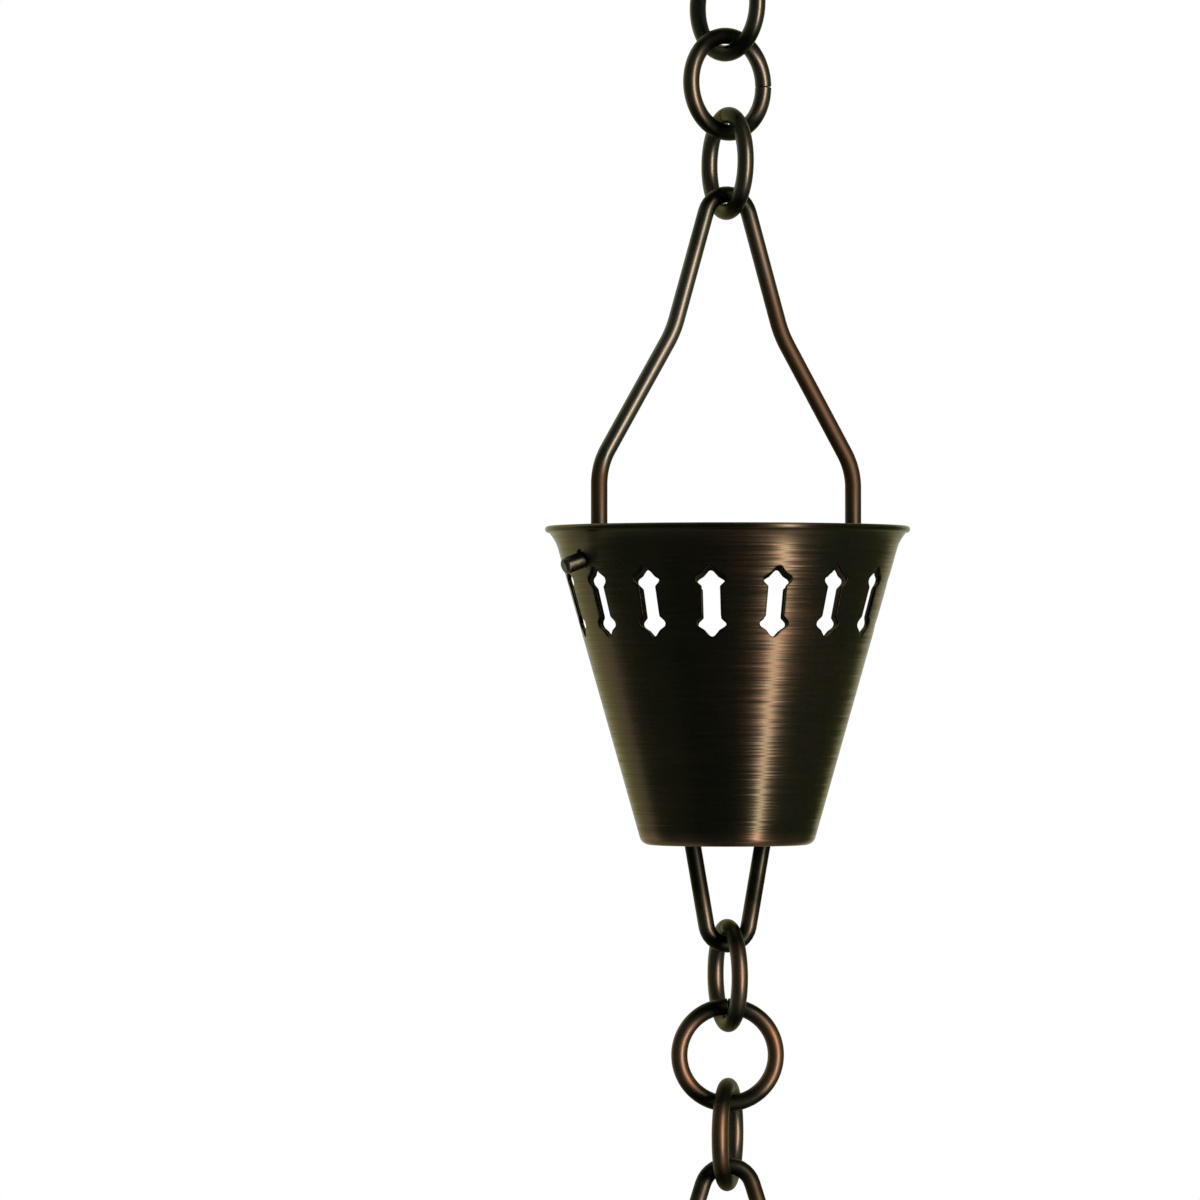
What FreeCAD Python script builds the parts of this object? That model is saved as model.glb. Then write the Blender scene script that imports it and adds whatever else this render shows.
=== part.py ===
"""A rain chain: three pierced cups that hang one below the other on bent wire and rings.

Millimetres, +Z up. The chain hangs straight down from the origin, which is the point at the top of
the first ring's eye that it is hung by.
"""
import FreeCAD
import Part
import Sketcher
import math
import os

# Lengths in millimetres and angles in degrees.
SIZES = {
    # Wire, and how loosely the pieces hang in each other.
    "wire": 4.0,
    "link_clearance": 0.25,
    # Rings: clear width of the eye, and the open butt joint of the bent wire.
    "ring_eye": 19.6,
    "ring_joint_gap": 0.12,
    # Cup: a straight cone of sheet with a flared lip and a floor that turns in round the drain.
    "cup_height": 77.0,
    "cup_sheet": 0.85,
    "rim_radius": 44.5,
    "neck_radius": 41.3,
    "lip_height": 5.0,
    "floor_radius": 20.9,
    "floor_corner": 2.5,
    "drain_radius": 15.0,
    # Pierced slots: an upright bar with a pointed, winged head at both ends.
    "slot_count": 15,
    "slot_height": 17.2,
    "slot_middle": 59.0,
    "slot_bar": 4.4,
    "slot_wing": 7.6,
    "slot_wing_drop": 3.2,
    "slot_neck_drop": 5.0,
    "slot_corner": 0.55,
    # Bail: wire over the cup, whose ends turn out through two holes below the lip.
    "bail_hole_drop": 7.7,
    "bail_hole_clearance": 0.45,
    "bail_leg_inset": 4.8,
    "bail_end_length": 5.2,
    "bail_end_droop": 20.0,
    "bail_end_bend": 3.2,
    "bail_ankle_rise": 22.7,
    "bail_ankle_bend": 16.0,
    "bail_knee_rise": 55.5,
    "bail_knee_half_width": 15.2,
    "bail_knee_bend": 25.0,
    "bail_rise": 89.3,
    "bail_top_bend": 6.3,
    # Hook: a V of wire below the cup, whose feet turn out and rest on the floor round the drain.
    "hook_drop": 24.3,
    "hook_half_width": 9.2,
    "hook_bend": 5.3,
    "hook_foot_bend": 3.2,
    "hook_foot_inset": 2.4,
}

# How far each piece is turned about the vertical as it hangs, from the top of the chain down.
TURNS = {
    "ring_01": 0.0,
    "ring_02": 90.0,
    "ring_03": -169.0,
    "cup_1": -74.0,
    "hook_1": 6.0,
    "ring_04": -85.75,
    "ring_05": -171.75,
    "ring_06": -101.75,
    "cup_2": -3.75,
    "hook_2": -22.5,
    "ring_07": -109.25,
    "ring_08": -28.75,
    "ring_09": -133.0,
    "cup_3": -28.75,
    "hook_3": -16.0,
    "ring_10": 66.75,
    "ring_11": 151.25,
}

# Where each ring's butt joint lies: 0 is level with its middle, and 90 is at its top.
JOINTS = {
    "ring_01": 0.0,
    "ring_02": 90.0,
    "ring_03": 90.0,
    "ring_04": 90.0,
    "ring_05": 0.0,
    "ring_06": 90.0,
    "ring_07": 90.0,
    "ring_08": 90.0,
    "ring_09": 90.0,
    "ring_10": 90.0,
    "ring_11": 90.0,
}

# Each cup hangs on its bail from a run of rings, and a last run hangs below the last cup.
CUP_COUNT = 3
RING_COUNT_PER_CUP = 3
RING_COUNT_AT_END = 2

# Sketch positions: the origin's number, and a shape's ends and centre.
ORIGIN = -1
UPRIGHT_AXIS = -2
START = 1
END = 2
CENTRE = 3

doc = FreeCAD.newDocument("RainChain")


class Size:
    """A value of the sheet, or one worked out from it, with the formula that gives it."""

    def __init__(self, formula, value):
        self.formula = formula
        self.value = value

    def __add__(self, other):
        other = as_size(other)
        return Size(f"({self.formula} + {other.formula})", self.value + other.value)

    def __sub__(self, other):
        other = as_size(other)
        return Size(f"({self.formula} - {other.formula})", self.value - other.value)

    def __mul__(self, other):
        other = as_size(other)
        return Size(f"({self.formula} * {other.formula})", self.value * other.value)

    def __truediv__(self, other):
        other = as_size(other)
        return Size(f"({self.formula} / {other.formula})", self.value / other.value)

    def __neg__(self):
        return Size(f"(0 - {self.formula})", -self.value)


def as_size(item):
    """A plain number as a size."""
    if isinstance(item, Size):
        return item
    return Size(repr(float(item)), float(item))


def cosine(angle):
    """The cosine of a size that is an angle."""
    return Size(f"cos({angle.formula})", math.cos(math.radians(angle.value)))


def tangent(angle):
    """The tangent of a size that is an angle."""
    return Size(f"tan({angle.formula})", math.tan(math.radians(angle.value)))


def make_sheet():
    """Write every driving value into one sheet, and return them as sizes."""
    sheet = doc.addObject("Spreadsheet::Sheet", "Sizes")
    values = dict(SIZES)
    for piece, turn in TURNS.items():
        values[piece + "_turn"] = turn
    for piece, joint in JOINTS.items():
        values[piece + "_joint"] = joint
    sizes = {}
    for row, (name, value) in enumerate(values.items(), start=1):
        sheet.set(f"A{row}", name)
        sheet.set(f"B{row}", str(value))
        sheet.setAlias(f"B{row}", name)
        sizes[name] = Size(f"Sizes.{name}", value)
    doc.recompute()
    return sizes


size = make_sheet()
ZERO = as_size(0)
WIRE_RADIUS = size["wire"] / 2
RING_RADIUS = (size["ring_eye"] + size["wire"]) / 2
RING_PITCH = size["ring_eye"] - size["link_clearance"]
NECK_HEIGHT = size["cup_height"] - size["lip_height"]
CONE_SLOPE = (size["neck_radius"] - size["floor_radius"]) / NECK_HEIGHT
BAIL_HOLE_HEIGHT = size["cup_height"] - size["bail_hole_drop"]
WALL_AT_BAIL_HOLE = size["floor_radius"] + CONE_SLOPE * BAIL_HOLE_HEIGHT
# From a wire that carries to the middle of the wire that hangs in it.
WIRE_ON_WIRE = size["wire"] + size["link_clearance"]
BAIL_HOLE_BELOW_RING = RING_RADIUS - WIRE_ON_WIRE + size["bail_rise"]
RING_BELOW_HOOK = RING_RADIUS - WIRE_ON_WIRE + size["hook_drop"]
CUP_DROP = BAIL_HOLE_BELOW_RING + BAIL_HOLE_HEIGHT + RING_BELOW_HOOK


def origin_feature(body, role):
    """One of a body's own origin planes or axes."""
    for feature in body.Origin.OriginFeatures:
        if feature.Role == role:
            return feature
    raise ValueError(role)


def new_sketch(body, name, plane):
    """An empty sketch on one of the body's origin planes."""
    sketch = body.newObject("Sketcher::SketchObject", name)
    sketch.AttachmentSupport = [(origin_feature(body, plane), "")]
    sketch.MapMode = "FlatFace"
    return sketch


def follow(thing, setting, driver):
    """Bind a property of a document object to a size."""
    thing.setExpression(setting, driver.formula)


def turn_sketch(sketch, turn):
    """Turn a sketch about the upright axis of its own plane."""
    about_upright = FreeCAD.Rotation(FreeCAD.Vector(0, 1, 0), turn.value)
    sketch.AttachmentOffset = FreeCAD.Placement(FreeCAD.Vector(0, 0, 0), about_upright)
    follow(sketch, "AttachmentOffset.Rotation.Angle", turn)


def constrain(sketch, kind, *items):
    """Add a constraint, whose last item may be a size that it then follows."""
    driver = items[-1]
    if not isinstance(driver, Size):
        sketch.addConstraint(Sketcher.Constraint(kind, *items))
        return
    index = sketch.addConstraint(Sketcher.Constraint(kind, *items[:-1], driver.value))
    follow(sketch, f"Constraints[{index}]", driver)


def pin_point(sketch, shape, point, x, y):
    """Hold a point of a sketch at a place given by two sizes."""
    constrain(sketch, "DistanceX", ORIGIN, START, shape, point, x)
    constrain(sketch, "DistanceY", ORIGIN, START, shape, point, y)


def flat(x, y):
    """A place in a sketch, from two sizes."""
    return FreeCAD.Vector(x.value, y.value, 0)


def add_line(sketch, start, end):
    return sketch.addGeometry(Part.LineSegment(start, end))


def add_circle(sketch, x, y, radius):
    """A circle held at a place, with a size for its radius."""
    circle = Part.Circle(flat(x, y), FreeCAD.Vector(0, 0, 1), radius.value)
    shape = sketch.addGeometry(circle)
    pin_point(sketch, shape, CENTRE, x, y)
    constrain(sketch, "Radius", shape, radius)


def add_arc(sketch, centre, start, end):
    """The shorter arc between two places, and which of its ends meet start and end."""
    arm = start - centre
    circle = Part.Circle(centre, FreeCAD.Vector(0, 0, 1), arm.Length)
    first = math.atan2(arm.y, arm.x)
    last = math.atan2(end.y - centre.y, end.x - centre.x)
    sweep = (last - first) % math.tau
    if sweep <= math.pi:
        return sketch.addGeometry(Part.ArcOfCircle(circle, first, first + sweep)), START, END
    return sketch.addGeometry(Part.ArcOfCircle(circle, last, last + math.tau - sweep)), END, START


def bend_places(before, corner, after, radius):
    """Where a bend leaves the two runs that would meet at a corner, and the bend's centre."""
    back = (before - corner).normalize()
    onward = (after - corner).normalize()
    half = back.getAngle(onward) / 2
    reach = radius / math.tan(half)
    inwards = (back + onward).normalize()
    return corner + back * reach, corner + onward * reach, corner + inwards * (radius / math.sin(half))


def round_corner(sketch, before, after, arc, bend, x, y):
    """Tie a bend to the two runs it joins, and their corner to its place."""
    shape, first, last = arc
    constrain(sketch, "Tangent", before, END, shape, first)
    constrain(sketch, "Tangent", shape, last, after, START)
    constrain(sketch, "Radius", shape, bend)
    corner = sketch.addGeometry(Part.Point(flat(x, y)), True)
    constrain(sketch, "PointOnObject", corner, START, before)
    constrain(sketch, "PointOnObject", corner, START, after)
    pin_point(sketch, corner, START, x, y)


def draw_loop(sketch, corners, bend):
    """A closed outline of straight runs, with the same bend at every corner."""
    places = [flat(x, y) for x, y in corners]
    count = len(places)
    bends = []
    for i, place in enumerate(places):
        bends.append(bend_places(places[i - 1], place, places[(i + 1) % count], bend.value))
    runs = [add_line(sketch, bends[i][1], bends[(i + 1) % count][0]) for i in range(count)]
    for i, (x, y) in enumerate(corners):
        arrive, leave, centre = bends[i]
        arc = add_arc(sketch, centre, arrive, leave)
        round_corner(sketch, runs[i - 1], runs[i], arc, bend, x, y)


def draw_half_wire(sketch, apex, apex_bend, corners, bends):
    """The line of one half of a bent wire: an arc from the middle, then runs with bends between.

    The arc starts level at the apex on the upright axis. It turns towards the first corner, so it
    opens downwards where that corner is lower and upwards where it is higher.
    """
    places = [flat(x, y) for x, y in corners]
    side = 1 if places[0].y < apex.value else -1
    middle = FreeCAD.Vector(0, apex.value - side * apex_bend.value, 0)
    to_corner = places[0] - middle
    turn = math.acos(apex_bend.value / to_corner.Length)
    angle = math.atan2(to_corner.y, to_corner.x) + side * turn
    leave = middle + FreeCAD.Vector(math.cos(angle), math.sin(angle), 0) * apex_bend.value
    top = FreeCAD.Vector(0, apex.value, 0)
    arc, first, last = add_arc(sketch, middle, top, leave)
    constrain(sketch, "PointOnObject", arc, CENTRE, UPRIGHT_AXIS)
    pin_point(sketch, arc, first, ZERO, apex)
    constrain(sketch, "Radius", arc, apex_bend)

    stops = [leave] + places
    rounded = []
    for i, bend in enumerate(bends, start=1):
        rounded.append(bend_places(stops[i - 1], stops[i], stops[i + 1], bend.value))
    starts = [leave] + [bend[1] for bend in rounded]
    ends = [bend[0] for bend in rounded] + [places[-1]]
    runs = [add_line(sketch, start, end) for start, end in zip(starts, ends)]
    constrain(sketch, "Tangent", arc, last, runs[0], START)
    for i, bend in enumerate(bends):
        arrive, onward, centre = rounded[i]
        turned = add_arc(sketch, centre, arrive, onward)
        round_corner(sketch, runs[i], runs[i + 1], turned, bend, *corners[i])
    pin_point(sketch, runs[-1], END, *corners[-1])


def place(body, height, turn):
    """Hang a body at a height on the chain's line, turned about the vertical."""
    upright = FreeCAD.Rotation(FreeCAD.Vector(0, 0, 1), turn.value)
    body.Placement = FreeCAD.Placement(FreeCAD.Vector(0, 0, height.value), upright)
    follow(body, "Placement.Base.z", height)
    follow(body, "Placement.Rotation.Angle", turn)


def make_ring(label, height):
    """A jump ring: wire bent round almost a full turn, open at one side by its butt joint."""
    body = doc.addObject("PartDesign::Body", label)
    section = new_sketch(body, label + "_section", "XY_Plane")
    turn_sketch(section, size[label + "_joint"])
    add_circle(section, RING_RADIUS, ZERO, WIRE_RADIUS)
    bent = body.newObject("PartDesign::Revolution", label + "_bent")
    bent.Profile = section
    bent.ReferenceAxis = (section, ["V_Axis"])
    bent.Midplane = True
    joint_angle = size["ring_joint_gap"] / RING_RADIUS * math.degrees(1)
    follow(bent, "Angle", -joint_angle + 360)
    place(body, height, size[label + "_turn"])
    return body


def make_wire(label, apex, apex_bend, corners, bends):
    """A bent wire with two like halves, both swept along one half line."""
    body = doc.addObject("PartDesign::Body", label)
    line = new_sketch(body, label + "_line", "XZ_Plane")
    draw_half_wire(line, apex, apex_bend, corners, bends)
    section = new_sketch(body, label + "_section", "YZ_Plane")
    add_circle(section, ZERO, apex, WIRE_RADIUS)
    doc.recompute()
    half = body.newObject("PartDesign::AdditivePipe", label + "_half")
    half.Profile = section
    half.Spine = (line, [f"Edge{i}" for i in range(1, len(line.Shape.Edges) + 1)])
    doc.recompute()
    whole = body.newObject("PartDesign::Mirrored", label + "_whole")
    whole.Originals = [half]
    whole.MirrorPlane = (origin_feature(body, "YZ_Plane"), [""])
    body.Tip = whole
    return body


def make_bail(label, turn, height):
    """The wire over a cup. It is drawn from the level of its two holes, where the cup swings."""
    leg = WALL_AT_BAIL_HOLE - size["bail_leg_inset"]
    pivot = WALL_AT_BAIL_HOLE - size["cup_sheet"] / 2
    droop = tangent(size["bail_end_droop"])
    tip = WALL_AT_BAIL_HOLE + size["bail_end_length"] * cosine(size["bail_end_droop"])
    corners = [
        (size["bail_knee_half_width"], size["bail_knee_rise"]),
        (leg, size["bail_ankle_rise"]),
        (leg, (pivot - leg) * droop),
        (tip, (pivot - tip) * droop),
    ]
    bends = [size["bail_knee_bend"], size["bail_ankle_bend"], size["bail_end_bend"]]
    body = make_wire(label, size["bail_rise"], size["bail_top_bend"], corners, bends)
    place(body, height, turn)
    return body


def make_hook(label, height):
    """The wire below a cup. It is drawn from the underside of the cup's floor."""
    foot = size["cup_sheet"] + size["link_clearance"] + WIRE_RADIUS
    corners = [
        (size["hook_half_width"], foot),
        (size["floor_radius"] - size["hook_foot_inset"], foot),
    ]
    bends = [size["hook_foot_bend"]]
    body = make_wire(label, -size["hook_drop"], size["hook_bend"], corners, bends)
    place(body, height, size[label + "_turn"])
    return body


def draw_cup_wall(sketch):
    """The section of a cup's sheet: floor, corner, cone and flared lip, outside and then inside."""
    drain = flat(size["drain_radius"], ZERO)
    corner = flat(size["floor_radius"], ZERO)
    neck = flat(size["neck_radius"], NECK_HEIGHT)
    rim = flat(size["rim_radius"], size["cup_height"])
    sheet = size["cup_sheet"].value
    along = (neck - corner).normalize()
    outwards = FreeCAD.Vector(along.y, -along.x, 0)
    floor_end, cone_start, corner_middle = bend_places(drain, corner, neck, size["floor_corner"].value)
    # The lip bows outwards from the cone, or inwards where the rim is narrower than the cone there.
    flare = rim - neck
    bow = flare.dot(flare) / (2 * flare.dot(outwards))
    lip_middle = neck + outwards * bow
    rim_inside = rim + (rim - lip_middle) * (sheet / bow)
    neck_inside = neck - outwards * sheet
    cone_inside = cone_start - outwards * sheet
    raised = FreeCAD.Vector(0, sheet, 0)

    floor_below = add_line(sketch, drain, floor_end)
    corner_outside = add_arc(sketch, corner_middle, floor_end, cone_start)
    cone_outside = add_line(sketch, cone_start, neck)
    lip_outside = add_arc(sketch, lip_middle, neck, rim)
    edge = add_line(sketch, rim, rim_inside)
    lip_inside = add_arc(sketch, lip_middle, rim_inside, neck_inside)
    wall_inside = add_line(sketch, neck_inside, cone_inside)
    corner_inside = add_arc(sketch, corner_middle, cone_inside, floor_end + raised)
    floor_above = add_line(sketch, floor_end + raised, drain + raised)
    drain_edge = add_line(sketch, drain + raised, drain)

    round_corner(
        sketch, floor_below, cone_outside, corner_outside,
        size["floor_corner"], size["floor_radius"], ZERO,
    )
    arc, first, last = lip_outside
    constrain(sketch, "Tangent", cone_outside, END, arc, first)
    constrain(sketch, "Coincident", arc, last, edge, START)
    constrain(sketch, "PointOnObject", arc, CENTRE, edge)
    pin_point(sketch, cone_outside, END, size["neck_radius"], NECK_HEIGHT)
    pin_point(sketch, edge, START, size["rim_radius"], size["cup_height"])
    constrain(sketch, "Distance", edge, size["cup_sheet"])
    inner, first, last = lip_inside
    constrain(sketch, "Coincident", edge, END, inner, first)
    constrain(sketch, "Coincident", inner, CENTRE, arc, CENTRE)
    constrain(sketch, "Tangent", inner, last, wall_inside, START)
    inner, first, last = corner_inside
    constrain(sketch, "Tangent", wall_inside, END, inner, first)
    constrain(sketch, "Coincident", inner, CENTRE, corner_outside[0], CENTRE)
    constrain(sketch, "Tangent", inner, last, floor_above, START)
    constrain(sketch, "Coincident", floor_above, END, drain_edge, START)
    constrain(sketch, "Coincident", drain_edge, END, floor_below, START)
    constrain(sketch, "Vertical", drain_edge)
    constrain(sketch, "Distance", drain_edge, size["cup_sheet"])
    pin_point(sketch, floor_below, START, size["drain_radius"], ZERO)


def draw_slot(sketch):
    """One pierced slot: a bar between two heads, each a point above a pair of wings."""
    top = size["slot_height"] / 2
    bar = size["slot_bar"] / 2
    wing = size["slot_wing"] / 2
    wing_height = top - size["slot_wing_drop"]
    neck_height = top - size["slot_neck_drop"]
    middle = size["slot_middle"]
    right = [(wing, wing_height), (bar, neck_height), (bar, -neck_height), (wing, -wing_height)]
    left = [(-x, y) for x, y in reversed(right)]
    corners = [(ZERO, top)] + right + [(ZERO, -top)] + left
    draw_loop(sketch, [(x, middle + y) for x, y in corners], size["slot_corner"])


def make_cup(label, height):
    """A cup: turned sheet, two holes for the bail's ends, and slots all round between them."""
    body = doc.addObject("PartDesign::Body", label)
    wall = new_sketch(body, label + "_wall", "XZ_Plane")
    draw_cup_wall(wall)
    turned = body.newObject("PartDesign::Revolution", label + "_turned")
    turned.Profile = wall
    turned.ReferenceAxis = (wall, ["V_Axis"])
    turned.Angle = 360
    doc.recompute()

    # Each hole for an end of the bail lies a quarter of the slots' pitch beside a slot.
    bail_hole = new_sketch(body, label + "_bail_hole", "XZ_Plane")
    beside_slot = as_size(90) / size["slot_count"]
    turn_sketch(bail_hole, beside_slot)
    add_circle(bail_hole, ZERO, BAIL_HOLE_HEIGHT, WIRE_RADIUS + size["bail_hole_clearance"])
    drilled = body.newObject("PartDesign::Pocket", label + "_drilled")
    drilled.Profile = bail_hole
    drilled.SideType = "Symmetric"
    follow(drilled, "Length", size["neck_radius"] * 2)
    doc.recompute()

    # A slot is pierced outwards from a plane inside the wall, where its neighbours are still clear.
    slot = new_sketch(body, label + "_slot", "XZ_Plane")
    follow(slot, "AttachmentOffset.Base.z", size["floor_radius"])
    draw_slot(slot)
    pierced = body.newObject("PartDesign::Pocket", label + "_pierced")
    pierced.Profile = slot
    pierced.Reversed = True
    follow(pierced, "Length", size["neck_radius"] - size["floor_radius"])
    doc.recompute()
    around = body.newObject("PartDesign::PolarPattern", label + "_slots")
    around.Originals = [pierced]
    around.Axis = (origin_feature(body, "Z_Axis"), [""])
    around.Angle = 360
    follow(around, "Occurrences", size["slot_count"])
    body.Tip = around
    place(body, height, size[label + "_turn"] - beside_slot + 90)
    return body


def ring_height(rings_above, cups_above):
    """The height of a ring's middle, from what hangs above it."""
    first = -size["ring_eye"] / 2
    return first - RING_PITCH * (rings_above - cups_above) - CUP_DROP * cups_above


def hang_chain():
    """Every piece of the chain, from the top down."""
    pieces = []
    rings = 0
    for cup in range(CUP_COUNT + 1):
        run = RING_COUNT_PER_CUP if cup < CUP_COUNT else RING_COUNT_AT_END
        for _ in range(run):
            height = ring_height(rings, cup)
            rings += 1
            pieces.append(make_ring(f"ring_{rings:02d}", height))
        if cup < CUP_COUNT:
            holes = height - BAIL_HOLE_BELOW_RING
            floor = holes - BAIL_HOLE_HEIGHT
            number = cup + 1
            pieces.append(make_bail(f"bail_{number}", size[f"cup_{number}_turn"], holes))
            pieces.append(make_cup(f"cup_{number}", floor))
            pieces.append(make_hook(f"hook_{number}", floor))
    return pieces


def check(pieces):
    """Stop if anything failed to build, or a hole or slot cut nothing."""
    for thing in doc.Objects:
        if "Invalid" in thing.State or "Error" in thing.State:
            raise RuntimeError(f"{thing.Label} failed: {thing.State}")
        if thing.TypeId == "PartDesign::Pocket":
            if thing.Shape.Volume >= thing.BaseFeature.Shape.Volume:
                raise RuntimeError(f"{thing.Label} cuts nothing")
    for piece in pieces:
        shape = piece.Shape
        if shape.isNull() or not shape.isValid() or len(shape.Solids) != 1:
            raise RuntimeError(f"{piece.Label} is not one sound solid")


chain = hang_chain()
doc.recompute()
check(chain)
os.makedirs("parts", exist_ok=True)
for piece in chain:
    piece.Shape.exportStep(f"parts/{piece.Label}.step")
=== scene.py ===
"""The looks of a rain chain: pierced bronze cups on bent wire bails, linked by open wire rings."""
import math

import bmesh
import bpy
import numpy as np
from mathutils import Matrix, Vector


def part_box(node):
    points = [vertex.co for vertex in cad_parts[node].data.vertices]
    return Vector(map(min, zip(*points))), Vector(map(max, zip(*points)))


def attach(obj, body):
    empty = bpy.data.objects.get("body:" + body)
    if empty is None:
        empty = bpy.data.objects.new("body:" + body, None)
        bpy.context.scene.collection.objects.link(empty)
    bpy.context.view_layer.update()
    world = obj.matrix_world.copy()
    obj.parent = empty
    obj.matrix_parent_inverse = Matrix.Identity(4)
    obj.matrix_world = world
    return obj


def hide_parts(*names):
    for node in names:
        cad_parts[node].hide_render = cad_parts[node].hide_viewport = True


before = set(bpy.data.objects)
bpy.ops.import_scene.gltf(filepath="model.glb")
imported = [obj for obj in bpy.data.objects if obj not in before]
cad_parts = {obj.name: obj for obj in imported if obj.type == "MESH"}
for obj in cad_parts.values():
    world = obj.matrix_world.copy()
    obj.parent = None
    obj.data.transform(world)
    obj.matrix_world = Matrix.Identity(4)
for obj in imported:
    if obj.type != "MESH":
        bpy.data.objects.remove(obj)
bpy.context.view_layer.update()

MM = 0.001

# Wire and rings.
WIRE_RADIUS = 2.0 * MM
WIRE_SIDES = 28
WIRE_PLAY = 0.25 * MM
WIRE_END_ROUND = 0.8 * MM
BEND_STEPS = 14
RING_RADIUS = 11.8 * MM
RING_STEPS = 120
RING_JOINT_GAP = 0.12 * MM
RING_END_ROUND = 0.2 * MM
END_ROUND_STEPS = 3
END_ROUND_ANGLE = math.radians(60)

# Cup: a cone of sheet with a flared lip, a rolled rim, a rounded foot and a drain in its floor.
CUP_HEIGHT = 77.0 * MM
SHEET = 0.85 * MM
RIM_RADIUS = 44.5 * MM
RIM_BEAD_RADIUS = 0.8 * MM
NECK_RADIUS = 41.3 * MM
LIP_HEIGHT = 5.0 * MM
FLOOR_RADIUS = 20.9 * MM
FLOOR_CORNER = 2.5 * MM
DRAIN_RADIUS = 15.0 * MM
NECK_HEIGHT = CUP_HEIGHT - LIP_HEIGHT
CONE_SLOPE = (NECK_RADIUS - FLOOR_RADIUS) / NECK_HEIGHT
CONE_TILT = math.atan(CONE_SLOPE)
WALL_ACROSS = SHEET / math.cos(CONE_TILT)

# Steps that the cup's section is drawn in.
WALL_STEPS = 26
FLOOR_STEPS = 2
INNER_CORNER_STEPS = 6
OUTER_CORNER_STEPS = 8
DRAIN_STEPS = 6
SHOULDER_STEPS = 3
LIP_STEPS = 10
BEAD_UNDERSIDE_STEPS = 7
BEAD_TOP_STEPS = 12

# Pierced slots, and the band of wall that holds them.
SLOT_COUNT = 15
HALF_PITCH = math.pi / SLOT_COUNT
SLOT_MIDDLE = 59.0 * MM
SLOT_HALF_HEIGHT = 8.95 * MM
SLOT_HALF_BAR = 2.2 * MM
SLOT_HALF_WING = 4.15 * MM
SLOT_WING_HEIGHT = 5.4 * MM
SLOT_NECK_HEIGHT = 3.6 * MM
SLOT_NOTCH = (1.8 * MM, 6.85 * MM)
SLOT_LOBE = 0.95 * MM
SLOT_CORNER = 0.5 * MM
SLOT_EDGE_ROUND = 0.2 * MM
SLOT_BURR_ROUND = 0.1 * MM
BAND_LOW = 47.8 * MM
BAND_HIGH = 69.6 * MM

# Steps of a slot's outline and of the band round it. Both come to the same count of points.
LOBE_STEPS = 4
CORNER_STEPS = 2
BAR_STEPS = 10
EDGE_ROUND_STEPS = 3
BAND_COLUMNS = 12
BAND_ROWS = 24
BAND_SHARES = (1.0, 0.78, 0.56, 0.36, 0.2, 0.09)

# How close points must lie to be joined, and a face to the cone to be shaded as a part of it.
JOIN_IN_SECTOR = 0.002 * MM
JOIN_SECTORS = 0.005 * MM
ON_CONE_WITHIN = 0.03 * MM
FACING_LIKE_CONE = 0.98

# Bail over the cup, drawn from the level of its holes.
HOLE_RADIUS = 2.45 * MM
HOLE_SIDES = 48
HOLE_BELOW_RIM = 7.7 * MM
HOLE_HEIGHT = CUP_HEIGHT - HOLE_BELOW_RIM
HOLE_BESIDE_SLOT = 0.25
WALL_AT_HOLE = FLOOR_RADIUS + CONE_SLOPE * HOLE_HEIGHT
BAIL_INSIDE_WALL = 4.8 * MM
BAIL_LEG = WALL_AT_HOLE - BAIL_INSIDE_WALL
BAIL_PIVOT = WALL_AT_HOLE - SHEET / 2
BAIL_END_DROOP = math.radians(20)
BAIL_END_LENGTH = 5.2 * MM
BAIL_TIP = WALL_AT_HOLE + BAIL_END_LENGTH * math.cos(BAIL_END_DROOP)
BAIL_END_BEND = 3.2 * MM
BAIL_ANKLE_RISE = 22.7 * MM
BAIL_ANKLE_BEND = 16.0 * MM
BAIL_KNEE = (15.2 * MM, 55.5 * MM)
BAIL_KNEE_BEND = 25.0 * MM
BAIL_RISE = 89.3 * MM
BAIL_TOP_BEND = 6.3 * MM

# Hook below the cup, drawn from the underside of the floor.
HOOK_DROP = 24.3 * MM
HOOK_BEND = 5.3 * MM
HOOK_HALF_WIDTH = 9.2 * MM
HOOK_FOOT_BEND = 3.2 * MM
HOOK_FOOT_RISE = SHEET + WIRE_PLAY + WIRE_RADIUS
HOOK_FOOT_INSIDE_WALL = 2.4 * MM
HOOK_FOOT_REACH = FLOOR_RADIUS - HOOK_FOOT_INSIDE_WALL

# How far each piece is turned about the vertical as it hangs, in degrees, from the top down.
TURNS = {
    "ring_01": 0.0,
    "ring_02": 90.0,
    "ring_03": -169.0,
    "cup_1": -74.0,
    "hook_1": 6.0,
    "ring_04": -85.75,
    "ring_05": -171.75,
    "ring_06": -101.75,
    "cup_2": -3.75,
    "hook_2": -22.5,
    "ring_07": -109.25,
    "ring_08": -28.75,
    "ring_09": -133.0,
    "cup_3": -28.75,
    "hook_3": -16.0,
    "ring_10": 66.75,
    "ring_11": 151.25,
}

# Rings whose butt joint lies level with their middle. The other rings have it at their top.
SIDE_JOINTS = ("ring_01", "ring_05")

# How far a cup's sheet is rubbed down to the copper, up to 1, or painted black as painted shade, down to
# -1.
EDGE_WEAR = 0.5
FOOT_WEAR = 0.7
BEAD_TOP_WEAR = 0.15
# Painted shade: black on the underside of the rim's bead, and in the slots' rounded edges and cut walls.
BEAD_UNDERSIDE_SHADE = -0.5
SLOT_SHADE = -0.8

# How much copper shows in the patina of a wire. The wires not named here have the plain share.
COPPER = {
    "ring_04": 0.15,
    "ring_05": 0.35,
    "ring_06": 0.45,
    "bail_2": 0.1,
    "ring_08": 1.0,
    "ring_09": 0.9,
}
PLAIN_COPPER = 0.6
# How far the painted shade reaches from the heights where a wire touches the pieces next to it.
CONTACT_SHADE_REACH = 7.0 * MM
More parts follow.
